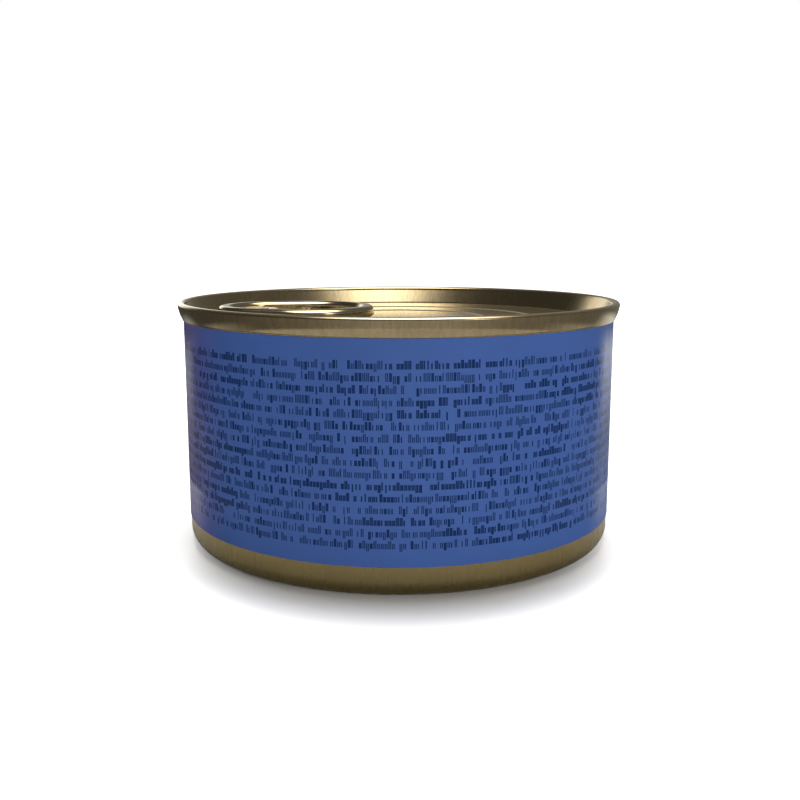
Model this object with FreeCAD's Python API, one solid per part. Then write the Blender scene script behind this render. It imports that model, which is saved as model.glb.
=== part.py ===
import FreeCAD, Part
import math
import os

# A low, round ring-pull food can, standing on its base and shut.
#   body      the drawn metal cup, with its standing ring, recessed base and what is packed in it
#   label     the thin printed wrap glued round the cup's straight wall
#   lid       the easy-open end: rolled double seam, chuck wall, countersink, panel and its rivet
#   pull_tab  the lifting ring: rolled rim, crossbar and the tongue that the rivet holds
# Millimetres, +Z up. The origin is the middle of the base, on the surface the can stands on.

# Overall form
can_height = 36.3
wall_radius = 32.53
base_corner_radius = 2.3

# Base of the cup
standing_ring_width = 1.5
standing_ring_round = 0.35
base_recess_depth = 0.9
base_recess_slope = 1.3
base_bead_radii = (10.5, 18.5)
base_bead_width = 2.6
base_bead_height = 0.35

# Label
label_thickness = 0.12
label_bottom_gap = 4.37
label_top_gap = 0.03
label_lap_width = 8.0

# Rolled double seam
seam_height = 2.66
seam_lip_reach = 0.93
seam_lip_round = 0.34
seam_foot_reach = 0.3
seam_foot_round = 0.16
seam_bulge = 0.1

# End panel inside the seam
end_sheet = 0.25
panel_depth = 2.85
chuck_wall_foot_inset = 1.23
countersink_width = 0.9
countersink_depth = 0.32
score_inset = 0.9
score_width = 0.34
score_depth = 0.1
panel_bead_radii = (13.4, 21.2)
panel_bead_width = 1.4
panel_bead_height = 0.1

# Rivet, raised from the panel
rivet_pad_radius = 2.95
rivet_pad_round = 0.12
rivet_shank_radius = 1.6
rivet_head_radius = 2.5
rivet_head_height = 0.5
rivet_head_round = 0.2
rivet_dimple_radius = 1.3
rivet_dimple_depth = 0.22
rivet_clearance = 0.05

# Pull tab
tab_turn = 5.5
tab_length = 24.5
tab_heel_radius = 10.1
tab_nose_radius = 8.5
tab_nose_clearance = 2.9
tab_lift = 0.15
rim_width = 2.1
rim_height = 1.6
rim_top_round = 0.7
rim_foot_round = 0.35
crossbar_width = 2.5
crossbar_height = 0.85
crossbar_lift = 0.2
crossbar_round = 0.3
crossbar_from_rivet = 5.2
rivet_from_nose = 6.9
tongue_thickness = 0.4
tongue_lift = 0.12
tongue_slot_radius = 3.3
tongue_slot_width = 0.7
tongue_slot_sweep = 215.0

# Levels and radii that follow from the sizes above
seam_foot_level = can_height - seam_height
panel_level = can_height - panel_depth
chuck_foot_radius = wall_radius - chuck_wall_foot_inset
panel_edge_radius = chuck_foot_radius - countersink_width
score_radius = panel_edge_radius - score_inset
lip_radius = wall_radius + seam_lip_reach
lip_inner_radius = lip_radius - 2 * seam_lip_round
lip_centre_level = can_height - seam_lip_round
standing_ring_outer = wall_radius - base_corner_radius
standing_ring_inner = standing_ring_outer - standing_ring_width
tab_underside = panel_level + tab_lift
tongue_underside = tab_underside + tongue_lift
tab_nose = chuck_foot_radius - tab_nose_clearance
tab_heel_centre = tab_nose - tab_length + tab_heel_radius
tab_nose_centre = tab_nose - tab_nose_radius
rivet_centre = tab_nose - rivet_from_nose

UP = FreeCAD.Vector(0, 0, 1)
ORIGIN = FreeCAD.Vector(0, 0, 0)


def line_to(radius, level):
    """One straight step of an outline, to a point."""
    return (None, (radius, level))


def arc_to(through, end):
    """One round step of an outline, through a point and on to another."""
    return (through, end)


def turned_round(start, steps):
    """The same path walked from its far end: its new start and steps."""
    points = [start] + [end for through, end in steps]
    throughs = [through for through, end in steps]
    back = [(throughs[i], points[i]) for i in range(len(steps) - 1, -1, -1)]
    return points[-1], back


def outline_face(start, steps):
    """A closed face in the XZ plane from a start point and its steps."""
    edges = []
    here = FreeCAD.Vector(start[0], 0, start[1])
    for through, end in steps:
        there = FreeCAD.Vector(end[0], 0, end[1])
        if through is None:
            edges.append(Part.LineSegment(here, there).toShape())
        else:
            middle = FreeCAD.Vector(through[0], 0, through[1])
            edges.append(Part.Arc(here, middle, there).toShape())
        here = there
    return Part.Face(Part.Wire(edges))


def turned_solid(start, steps, sweep=360.0):
    """A solid of revolution about the Z axis from an outline in the XZ plane."""
    return outline_face(start, steps).revolve(ORIGIN, UP, sweep)


def round_corner(centre_radius, centre_level, corner_radius, degrees):
    """The point of a round corner at an angle, measured from +X towards +Z."""
    angle = math.radians(degrees)
    return (centre_radius + corner_radius * math.cos(angle), centre_level + corner_radius * math.sin(angle))


def beads(radii, width, height, level):
    """Steps along a level sheet with a low arched ring at each radius, from the middle outwards."""
    steps = []
    for radius in sorted(radii):
        steps.append(line_to(radius - width / 2, level))
        steps.append(arc_to((radius, level + height), (radius + width / 2, level)))
    return steps


def chuck_wall_back(level):
    """Radius of the chuck wall's hidden face at a level: the wall leans out from its foot to the lip."""
    lean = (lip_inner_radius - chuck_foot_radius) / (lip_centre_level - panel_level)
    return chuck_foot_radius + end_sheet + lean * (level - panel_level)


def end_underside():
    """The hidden face of the end, from the axis out to where it enters the seam."""
    sheet_level = panel_level - end_sheet
    groove_level = sheet_level - countersink_depth
    start = (0, sheet_level)
    steps = [
        line_to(panel_edge_radius - end_sheet, sheet_level),
        line_to(panel_edge_radius - end_sheet, groove_level),
        line_to(chuck_foot_radius + end_sheet, groove_level),
        line_to(chuck_foot_radius + end_sheet, panel_level),
        line_to(chuck_wall_back(seam_foot_level), seam_foot_level),
    ]
    return start, steps


def body():
    """The drawn cup with a solid inside, up to the hidden face of the end."""
    corner_middle = round_corner(standing_ring_outer, base_corner_radius, base_corner_radius, -45)
    slope_end = (standing_ring_inner - standing_ring_round, standing_ring_round / 2)
    start = (0, base_recess_depth)
    steps = beads(base_bead_radii, base_bead_width, base_bead_height, base_recess_depth)
    steps += [
        line_to(slope_end[0] - base_recess_slope, base_recess_depth),
        line_to(slope_end[0], slope_end[1]),
        arc_to((standing_ring_inner - standing_ring_round / 2, standing_ring_round / 8), (standing_ring_inner, 0)),
        line_to(standing_ring_outer, 0),
        arc_to(corner_middle, (wall_radius, base_corner_radius)),
        line_to(wall_radius, seam_foot_level),
    ]
    under_end, under_steps = turned_round(*end_underside())
    steps += [line_to(*under_end)] + under_steps + [line_to(*start)]
    return turned_solid(start, steps)


def label():
    """The printed wrap, closed by a glued lap at the back."""
    low = label_bottom_gap
    high = seam_foot_level - label_top_gap
    inside = wall_radius
    outside = wall_radius + label_thickness
    sleeve_steps = [line_to(outside, low), line_to(outside, high), line_to(inside, high), line_to(inside, low)]
    sleeve = turned_solid((inside, low), sleeve_steps)
    lapped = outside + label_thickness
    lap_steps = [line_to(lapped, low), line_to(lapped, high), line_to(outside, high), line_to(outside, low)]
    lap_sweep = math.degrees(label_lap_width / outside)
    lap = turned_solid((outside, low), lap_steps, lap_sweep)
    lap.rotate(ORIGIN, UP, 90 - lap_sweep / 2)
    return sleeve.fuse(lap).removeSplitter()


def seam_and_panel():
    """The end as one turned sheet: panel, countersink, chuck wall and the rolled seam round the cup's edge."""
    foot_radius = wall_radius + seam_foot_reach
    foot_centre_level = seam_foot_level + seam_foot_round
    wall_middle_radius = (lip_radius + foot_radius) / 2 + seam_bulge
    wall_middle_level = (lip_centre_level + foot_centre_level) / 2
    groove_middle = (panel_edge_radius + chuck_foot_radius) / 2
    foot_middle = round_corner(foot_radius - seam_foot_round, foot_centre_level, seam_foot_round, -45)
    start = (0, panel_level)
    steps = beads(panel_bead_radii, panel_bead_width, panel_bead_height, panel_level)
    steps += [
        line_to(score_radius - score_width / 2, panel_level),
        line_to(score_radius, panel_level - score_depth),
        line_to(score_radius + score_width / 2, panel_level),
        line_to(panel_edge_radius, panel_level),
        arc_to((groove_middle, panel_level - countersink_depth), (chuck_foot_radius, panel_level)),
        line_to(lip_inner_radius, lip_centre_level),
        arc_to((lip_radius - seam_lip_round, can_height), (lip_radius, lip_centre_level)),
        arc_to((wall_middle_radius, wall_middle_level), (foot_radius, foot_centre_level)),
        arc_to(foot_middle, (foot_radius - seam_foot_round, seam_foot_level)),
    ]
    under_end, under_steps = turned_round(*end_underside())
    steps += [line_to(*under_end)] + under_steps + [line_to(*start)]
    return turned_solid(start, steps)


def rivet():
    """The button raised from the panel: a pad under the tongue, a shank through it and a head over it."""
    pad_top = tongue_underside
    head_under = pad_top + tongue_thickness
    head_top = head_under + rivet_head_height
    root = panel_level - end_sheet / 2
    pad_corner = round_corner(
        rivet_pad_radius - rivet_pad_round, pad_top - rivet_pad_round, rivet_pad_round, 45)
    head_corner = round_corner(
        rivet_head_radius - rivet_head_round, head_top - rivet_head_round, rivet_head_round, 45)
    start = (0, root)
    steps = [
        line_to(rivet_pad_radius, root),
        line_to(rivet_pad_radius, pad_top - rivet_pad_round),
        arc_to(pad_corner, (rivet_pad_radius - rivet_pad_round, pad_top)),
        line_to(rivet_shank_radius, pad_top),
        line_to(rivet_shank_radius, head_under),
        line_to(rivet_head_radius, head_under),
        line_to(rivet_head_radius, head_top - rivet_head_round),
        arc_to(head_corner, (rivet_head_radius - rivet_head_round, head_top)),
        line_to(rivet_dimple_radius, head_top),
        line_to(rivet_dimple_radius - rivet_dimple_depth, head_top - rivet_dimple_depth),
        line_to(0, head_top - rivet_dimple_depth),
        line_to(*start),
    ]
    button = turned_solid(start, steps)
    button.translate(FreeCAD.Vector(rivet_centre, 0, 0))
    return button


def placed_at_tab(shape):
    """Turn a shape built along +X to the tab's own direction, towards -X and a little to +Y."""
    shape.rotate(ORIGIN, UP, 180 - tab_turn)
    return shape


def lid():
    """The easy-open end with its rivet."""
    return seam_and_panel().fuse(placed_at_tab(rivet())).removeSplitter()


def rim_tangent():
    """Angle, from +X, at which the tab's straight sides leave the heel's round and meet the nose's."""
    spacing = tab_nose_centre - tab_heel_centre
    return math.degrees(math.acos((tab_heel_radius - tab_nose_radius) / spacing))


def side_point(centre, radius, degrees):
    """A point on the tab's heel or nose round, in plan."""
    angle = math.radians(degrees)
    return FreeCAD.Vector(centre + radius * math.cos(angle), radius * math.sin(angle), 0)


def tab_plan(inset):
    """The tab's closed plan outline, moved inwards by an inset."""
    tangent = rim_tangent()
    heel = tab_heel_radius - inset
    nose = tab_nose_radius - inset
    heel_left = side_point(tab_heel_centre, heel, tangent)
    heel_end = side_point(tab_heel_centre, heel, 180)
    heel_right = side_point(tab_heel_centre, heel, -tangent)
    nose_left = side_point(tab_nose_centre, nose, tangent)
    nose_end = side_point(tab_nose_centre, nose, 0)
    nose_right = side_point(tab_nose_centre, nose, -tangent)
    edges = [
        Part.Arc(heel_left, heel_end, heel_right).toShape(),
        Part.LineSegment(heel_right, nose_right).toShape(),
        Part.Arc(nose_right, nose_end, nose_left).toShape(),
        Part.LineSegment(nose_left, heel_left).toShape(),
    ]
    return Part.Wire(edges)


def rounded_bar_section(width, height, top_round, foot_round, centre_radius, bottom):
    """A bar's section in the XZ plane, round at its corners, with its middle at a distance along X."""
    left = centre_radius - width / 2
    right = centre_radius + width / 2
    top = bottom + height
    foot = bottom + foot_round
    shoulder = top - top_round
    steps = [
        line_to(right - foot_round, bottom),
        arc_to(round_corner(right - foot_round, foot, foot_round, -45), (right, foot)),
        line_to(right, shoulder),
        arc_to(round_corner(right - top_round, shoulder, top_round, 45), (right - top_round, top)),
        line_to(left + top_round, top),
        arc_to(round_corner(left + top_round, shoulder, top_round, 135), (left, shoulder)),
        line_to(left, foot),
        arc_to(round_corner(left + foot_round, foot, foot_round, 225), (left + foot_round, bottom)),
    ]
    return outline_face((left + foot_round, bottom), steps)


def rim_round(centre, outer_radius, first, last):
    """One round stretch of the rolled rim, about the heel's or the nose's centre."""
    middle = outer_radius - rim_width / 2
    section = rounded_bar_section(
        rim_width, rim_height, rim_top_round, rim_foot_round, middle, tab_underside)
    section.rotate(ORIGIN, UP, first)
    section.translate(FreeCAD.Vector(centre, 0, 0))
    return section.revolve(FreeCAD.Vector(centre, 0, 0), UP, last - first)


def rim_side(sign):
    """One straight side of the rolled rim, from the heel's round to the nose's."""
    tangent = sign * rim_tangent()
    middle = tab_heel_radius - rim_width / 2
    section = rounded_bar_section(
        rim_width, rim_height, rim_top_round, rim_foot_round, middle, tab_underside)
    section.rotate(ORIGIN, UP, tangent)
    section.translate(FreeCAD.Vector(tab_heel_centre, 0, 0))
    start = side_point(tab_heel_centre, middle, tangent)
    end = side_point(tab_nose_centre, tab_nose_radius - rim_width / 2, tangent)
    return section.extrude(end - start)


def crossbar():
    """The folded bar between the finger hole and the rivet, from side to side of the rim."""
    place = rivet_centre - crossbar_from_rivet
    reach = 2 * tab_heel_radius
    section = rounded_bar_section(
        crossbar_width, crossbar_height, crossbar_round, crossbar_round, place, tab_underside + crossbar_lift)
    bar = section.extrude(FreeCAD.Vector(0, 2 * reach, 0))
    bar.translate(FreeCAD.Vector(0, -reach, 0))
    plan = Part.Face(tab_plan(rim_width / 2))
    plan.translate(FreeCAD.Vector(0, 0, tab_underside))
    return bar.common(plan.extrude(FreeCAD.Vector(0, 0, rim_height)))


def tongue():
    """The thin sheet between the crossbar and the nose, pierced for the rivet and cut free round its back."""
    plan = Part.Face(tab_plan(rim_width / 2))
    plan.translate(FreeCAD.Vector(0, 0, tongue_underside))
    sheet = plan.extrude(FreeCAD.Vector(0, 0, tongue_thickness))
    back = rivet_centre - crossbar_from_rivet
    heel_side = Part.makeBox(
        tab_length, 2 * tab_length, rim_height, FreeCAD.Vector(back - tab_length, -tab_length, tab_underside))
    centre = FreeCAD.Vector(rivet_centre, 0, tab_underside)
    hole = Part.makeCylinder(rivet_shank_radius + rivet_clearance, rim_height, centre)
    return sheet.cut(heel_side).cut(hole).cut(tongue_slot())


def tongue_slot():
    """The arc-shaped slot round the heel side of the rivet, with round ends."""
    low = tab_underside
    high = tab_underside + rim_height
    inner = tongue_slot_radius - tongue_slot_width / 2
    outer = tongue_slot_radius + tongue_slot_width / 2
    steps = [line_to(outer, low), line_to(outer, high), line_to(inner, high), line_to(inner, low)]
    slot = turned_solid((inner, low), steps, tongue_slot_sweep)
    slot.rotate(ORIGIN, UP, 180 - tongue_slot_sweep / 2)
    for side in (-1, 1):
        angle = math.radians(180 + side * tongue_slot_sweep / 2)
        end = FreeCAD.Vector(tongue_slot_radius * math.cos(angle), tongue_slot_radius * math.sin(angle), low)
        slot = slot.fuse(Part.makeCylinder(tongue_slot_width / 2, rim_height, end))
    slot.translate(FreeCAD.Vector(rivet_centre, 0, 0))
    return slot


def pull_tab():
    """The lifting ring, turned to its place on the end."""
    tangent = rim_tangent()
    heel = rim_round(tab_heel_centre, tab_heel_radius, tangent, 360 - tangent)
    nose = rim_round(tab_nose_centre, tab_nose_radius, -tangent, tangent)
    pieces = [nose, rim_side(1), rim_side(-1), crossbar(), tongue()]
    return placed_at_tab(heel.multiFuse(pieces).removeSplitter())


os.makedirs("parts", exist_ok=True)
for name, make in (("body", body), ("label", label), ("lid", lid), ("pull_tab", pull_tab)):
    shape = make()
    solids = shape.Solids
    print(name, "solids", len(solids), "valid", shape.isValid(), "volume", round(shape.Volume, 3))
    solids[0].exportStep(os.path.join("parts", name + ".step"))
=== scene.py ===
import math

import bpy
import numpy as np
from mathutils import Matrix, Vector


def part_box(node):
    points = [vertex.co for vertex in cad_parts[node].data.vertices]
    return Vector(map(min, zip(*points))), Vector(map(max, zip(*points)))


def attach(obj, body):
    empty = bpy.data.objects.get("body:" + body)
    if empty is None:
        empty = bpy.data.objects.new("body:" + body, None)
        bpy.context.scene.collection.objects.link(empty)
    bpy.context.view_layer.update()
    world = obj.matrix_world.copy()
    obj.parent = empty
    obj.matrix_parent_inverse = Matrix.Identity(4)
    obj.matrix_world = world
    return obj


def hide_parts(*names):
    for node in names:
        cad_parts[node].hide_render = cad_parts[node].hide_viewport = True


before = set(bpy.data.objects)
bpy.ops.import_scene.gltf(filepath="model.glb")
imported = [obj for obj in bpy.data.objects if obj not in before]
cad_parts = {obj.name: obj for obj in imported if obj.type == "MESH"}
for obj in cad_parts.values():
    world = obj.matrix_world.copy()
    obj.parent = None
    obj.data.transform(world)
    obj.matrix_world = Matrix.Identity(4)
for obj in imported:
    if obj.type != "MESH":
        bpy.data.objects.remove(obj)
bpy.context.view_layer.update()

bl_info = {
    "name": "Ring-Pull Food Can",
    "version": (1, 0, 0),
    "blender": (4, 5, 0),
    "location": "View3D > Sidebar > Food Can",
    "description": "Builds a low round food can with a printed wrap, a rolled seam and a ring-pull end",
    "category": "Add Mesh",
}

MM = 0.001
BODY = "root"
WHITE = (1.0, 1.0, 1.0, 1.0)
# The tint of the lacquered metals where they are seen at a glancing angle.
EDGE_TINT = (1.0, 0.99, 0.9, 1.0)
# Edges that turn by more than this are shaded crisp.
SHARP_ANGLE = math.radians(32.0)
# How many facets each turned shape has round its axis.
WALL_SEGMENTS = 256
END_SEGMENTS = 320
RIVET_SEGMENTS = 72
STAGE_SEGMENTS = 96

_, body_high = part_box("body")
label_low, label_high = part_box("label")
_, lid_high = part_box("lid")
tab_low, tab_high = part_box("pull_tab")


# ---------------------------------------------------------------- properties

def length(name, description, default):
    """A length property in metres."""
    return bpy.props.FloatProperty(
        name=name, description=description, default=default, min=0.0, unit="LENGTH", precision=6)


def colour(name, description, default):
    """A colour property in linear values."""
    return bpy.props.FloatVectorProperty(
        name=name, description=description, default=default, size=3, min=0.0, max=1.0, subtype="COLOR")


class CupSizes(bpy.types.PropertyGroup):
    """Sizes of the drawn cup."""
    wall_radius: length("Wall radius", "Outside radius of the cup's straight wall", body_high.x)
    wall_top: length("Wall top", "Height at which the wall enters the seam", body_high.z)
    corner_radius: length("Corner radius", "Round between the wall and the standing ring", 2.3 * MM)
    ring_width: length("Ring width", "Flat width that the can stands on", 1.5 * MM)
    recess_depth: length("Recess depth", "Height of the base panel above the standing ring", 0.9 * MM)
    recess_slope: length("Recess slope", "Width of the slope up to the base panel", 1.65 * MM)
    bead_width: length("Bead width", "Width of each round bead in the base", 2.6 * MM)
    bead_height: length("Bead height", "Height of each round bead in the base", 0.35 * MM)
    inner_bead: length("Inner bead radius", "Radius of the base's inner bead", 10.5 * MM)
    outer_bead: length("Outer bead radius", "Radius of the base's outer bead", 18.5 * MM)
    top_width: length("Top width", "Width of the wall's top under the seam", 0.98 * MM)
    top_step: length("Top step", "Depth of the closed top below the wall's top", 0.8 * MM)


class LabelSizes(bpy.types.PropertyGroup):
    """Sizes of the printed wrap and its rows of small marks."""
    thickness: length("Thickness", "Thickness of the wrap", label_high.x - body_high.x)
    low: length("Lower edge", "Height of the wrap's lower edge", label_low.z)
    high: length("Upper edge", "Height of the wrap's upper edge", label_high.z)
    lap_width: length("Lap width", "Width of the glued overlap at the back", 8.0 * MM)
    row_pitch: length("Row pitch", "Distance from one row of marks to the next", 1.533 * MM)
    first_row: length("First row", "Height of the top of the first row of marks", 31.0 * MM)
    mark_pitch: length("Mark pitch", "Distance from one small mark to the next", 0.47 * MM)
    rows: bpy.props.IntProperty(name="Rows", description="Number of rows of marks", default=16, min=0)


class LidSizes(bpy.types.PropertyGroup):
    """Sizes of the easy-open end."""
    top: length("Top", "Height of the lip's top", lid_high.z)
    lip_radius: length("Lip radius", "Outermost radius of the rolled lip", lid_high.x)
    lip_half: length("Lip half width", "Half the thickness of the seam at its lip", 0.53 * MM)
    lip_rise: length("Lip rise", "Height of the lip's round top", 0.45 * MM)
    seam_height: length("Seam height", "Height of the rolled seam", 2.66 * MM)
    foot_reach: length("Foot reach", "How far the seam's foot stands out past the cup's wall", 0.3 * MM)
    foot_round: length("Foot round", "Radius of the seam's turned-in foot", 0.16 * MM)
    bulge: length("Bulge", "How far the seam's outer wall bows out", 0.1 * MM)
    panel_depth: length("Panel depth", "Depth of the panel below the lip", 2.85 * MM)
    sheet: length("Sheet", "Thickness of the end's sheet metal", 0.25 * MM)
    foot_inset: length("Chuck wall inset", "Chuck wall's foot inside the cup's wall", 1.23 * MM)
    groove_width: length("Countersink width", "Width of the groove at the chuck wall's foot", 0.9 * MM)
    groove_depth: length("Countersink depth", "Depth of the groove at the chuck wall's foot", 0.32 * MM)
    score_inset: length("Score inset", "Score line inside the panel's edge", 0.9 * MM)
    score_width: length("Score width", "Width of the score line", 0.34 * MM)
    score_depth: length("Score depth", "Depth of the score line", 0.1 * MM)
    inner_bead: length("Inner bead radius", "Radius of the panel's inner bead", 13.4 * MM)
    outer_bead: length("Outer bead radius", "Radius of the panel's outer bead", 21.2 * MM)
    bead_width: length("Bead width", "Width of each bead in the panel", 1.4 * MM)
    bead_height: length("Bead height", "Height of each bead in the panel", 0.1 * MM)
    rivet_pad: length("Rivet pad radius", "Radius of the raised pad under the tab", 2.95 * MM)
    rivet_shank: length("Rivet shank radius", "Radius of the rivet's shank", 1.6 * MM)
    rivet_head: length("Rivet head radius", "Radius of the rivet's head", 2.5 * MM)
    rivet_height: length("Rivet head height", "Height of the rivet's head", 0.5 * MM)


class TabSizes(bpy.types.PropertyGroup):
    """Sizes of the pull tab."""
    turn: bpy.props.FloatProperty(
        name="Turn", description="Angle of the tab from -X towards +Y", default=math.radians(5.5), subtype="ANGLE")
    length: length("Length", "Length of the tab from heel to nose", 24.5 * MM)
    heel_radius: length("Heel radius", "Plan radius of the tab's finger end", 10.1 * MM)
    nose_radius: length("Nose radius", "Plan radius of the tab's nose", 8.5 * MM)
    nose_gap: length("Nose gap", "Distance from the nose to the chuck wall's foot", 2.9 * MM)
    rim_width: length("Rim width", "Width of the rolled rim", 2.1 * MM)
    rim_height: length("Rim height", "Height of the rolled rim", tab_high.z - tab_low.z)
    top_round: length("Rim top round", "Radius of the rim's upper edges", 0.7 * MM)
    foot_round: length("Rim foot round", "Radius of the rim's lower edges", 0.35 * MM)
    underside: length("Underside", "Height of the rim's underside", tab_low.z)
    bar_width: length("Crossbar width", "Width of the crossbar", 2.5 * MM)
    bar_height: length("Crossbar height", "Height of the crossbar", 0.5 * MM)
    bar_round: length("Crossbar round", "Radius of the crossbar's edges", 0.22 * MM)
    bar_lift: length("Crossbar lift", "Crossbar above the rim's underside", 0.08 * MM)
    bar_from_rivet: length("Crossbar place", "Distance from the rivet to the crossbar", 5.2 * MM)
    rivet_from_nose: length("Rivet place", "Distance from the nose to the rivet", 6.9 * MM)
    tongue_sheet: length("Tongue sheet", "Thickness of the sheet round the rivet", 0.4 * MM)
    tongue_lift: length("Tongue lift", "Tongue above the rim's underside", 0.12 * MM)
    slot_radius: length("Slot radius", "Radius of the slot round the rivet", 3.3 * MM)
    slot_width: length("Slot width", "Width of the slot round the rivet", 0.7 * MM)
    slot_sweep: bpy.props.FloatProperty(
        name="Slot sweep", description="How far the slot runs round the rivet",
        default=math.radians(215.0), subtype="ANGLE")


class CanColours(bpy.types.PropertyGroup):
    """Colours of the can's finishes."""
    cup_gold: colour("Cup gold", "Lacquered metal of the cup", (0.25, 0.19, 0.082))
    end_gold: colour("End gold", "Lacquered metal of the end", (0.345, 0.268, 0.15))
    tab_metal: colour("Tab metal", "Pale gold metal of the pull tab", (0.41, 0.34, 0.21))
    print_blue: colour("Print blue", "Ground colour of the wrap", (0.048, 0.1, 0.3))
    # Painted sheen and shade: a violet that stands in for a tinted reflection and weaker light on the can's left side.
    painted_sheen_violet: colour("Side violet", "Violet that the wrap's ground fades to on its left", (0.11, 0.08, 0.27))
    mark_navy: colour("Mark navy", "Colour of the small printed marks", (0.004, 0.02, 0.08))


# ---------------------------------------------------------------- shapes

def smooth_step(low, high, values):
    """0 below low, 1 above high, and three times the square less twice the cube between."""
    share = np.clip((values - low) / (high - low), 0.0, 1.0)
    return share * share * (3.0 - 2.0 * share)


def bump(values, centre, width):
    """A round hill: the square of a cosine across the width, and 0 outside it."""
    share = np.clip(np.abs(values - centre) / (width / 2), 0.0, 1.0)
    return np.cos(share * math.pi / 2) ** 2


def oval(centre, across, up, first, last, count):
    """A count of points of an ellipse between two angles in degrees: the centre plus (across cos, up sin)."""
    angles = np.radians(np.linspace(first, last, count))
    return np.stack([centre[0] + across * np.cos(angles), centre[1] + up * np.sin(angles)], axis=1)


def arc(centre, radius, first, last, count):
    """A count of points of a circle between two angles in degrees."""
    return oval(centre, radius, radius, first, last, count)


def straight(start, end, count):
    """A count of evenly spaced points from a start to an end."""
    shares = np.linspace(0.0, 1.0, count)[:, None]
    return np.array(start) * (1 - shares) + np.array(end) * shares


def bowed(start, end, sag, count):
    """A line bowed to its right by a sag: the straight points moved square to the line by a parabola."""
    points = straight(start, end, count)
    along = np.array(end) - np.array(start)
    side = np.array([along[1], -along[0]]) / np.hypot(*along)
    shares = np.linspace(0.0, 1.0, count)
    return points + side * (4 * sag * shares * (1 - shares))[:, None]


def joined(*stretches):
    """One profile from several stretches, with repeated end points dropped."""
    points = np.concatenate(stretches)
    keep = np.ones(len(points), bool)
    keep[1:] = np.hypot(*(points[1:] - points[:-1]).T) > 1e-7
    return points[keep]


def grid_quads(rows, columns, close_rows, close_columns):
    """Index quads of a grid, wrapped round where a direction is closed."""
    row = np.arange(rows if close_rows else rows - 1)[:, None]
    column = np.arange(columns if close_columns else columns - 1)[None, :]
    next_row = (row + 1) % rows
    next_column = (column + 1) % columns
    corners = (row * columns + column, next_row * columns + column,
               next_row * columns + next_column, row * columns + next_column)
    return np.stack([np.broadcast_to(c, (row.size, column.size)) for c in corners], axis=-1).reshape(-1, 4)


def angles_round(count):
    """A count of angles evenly round a full turn, from +X."""
    return np.arange(count) * (2 * math.pi / count)


def points_round(radius, angles, height, centre=(0.0, 0.0)):
    """Points at each radius, angle and height about an upright axis, row after row."""
    x = centre[0] + radius * np.cos(angles)
    y = centre[1] + radius * np.sin(angles)
    return np.stack([x, y, np.broadcast_to(height, x.shape)], axis=-1).reshape(-1, 3)


def outward(vertices, faces):
    """The faces turned so that the closed mesh's volume, a sum of signed tetrahedra, is positive."""
    volume = 0.0
    for size in {len(face) for face in faces}:
        picked = np.array([face for face in faces if len(face) == size])
        first = vertices[picked[:, 0]]
        for corner in range(1, size - 1):
            crossed = np.cross(vertices[picked[:, corner]], vertices[picked[:, corner + 1]])
            volume += float(np.sum(first * crossed))
    return faces if volume > 0 else [face[::-1] for face in faces]


def turned(profile, segments, centre=(0.0, 0.0)):
    """A closed turned solid. Point (i, j) is profile point i, its radius turned to angle j of the segments
    about the upright axis. The profile runs from the axis to the axis, and each end is one pole point."""
    ring = profile[1:-1]
    poles = np.array([[centre[0], centre[1], profile[0, 1]], [centre[0], centre[1], profile[-1, 1]]])
    vertices = np.concatenate([points_round(ring[:, :1], angles_round(segments), ring[:, 1:], centre), poles])
    quads = grid_quads(len(ring), segments, False, True)
    around = np.arange(segments)
    ahead = (around + 1) % segments
    first_pole = np.full(segments, len(vertices) - 2)
    last_pole = np.full(segments, len(vertices) - 1)
    last_ring = (len(ring) - 1) * segments
    first_fan = np.stack([first_pole, around, ahead], axis=1)
    last_fan = np.stack([last_pole, last_ring + ahead, last_ring + around], axis=1)
    return vertices, outward(vertices, quads.tolist() + first_fan.tolist() + last_fan.tolist())


def combined(*parts):
    """Several meshes as one list of vertices and one of faces."""
    vertices = np.concatenate([part[0] for part in parts])
    faces = []
    start = 0
    for part in parts:
        faces += [[index + start for index in face] for face in part[1]]
        start += len(part[0])
    return vertices, faces


def smooth_object(name, shape, material):
    """A smooth mesh object at the origin, with the material on all its faces."""
    vertices, faces = shape
    mesh = bpy.data.meshes.new(name)
    mesh.from_pydata(vertices.tolist(), [], faces)
    mesh.polygons.foreach_set("use_smooth", np.ones(len(mesh.polygons), bool))
    mesh.materials.append(material)
    made = bpy.data.objects.new(name, mesh)
    bpy.context.scene.collection.objects.link(made)
    return made


def piece(name, shape, material, node):
    """A smooth object with crisp edges that rides with the can and stands for a node."""
    made = smooth_object(name, shape, material)
    made.data.set_sharp_from_angle(angle=SHARP_ANGLE)
    made.data.update()
    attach(made, BODY)
    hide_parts(node)
    return made


# ---------------------------------------------------------------- materials

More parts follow.
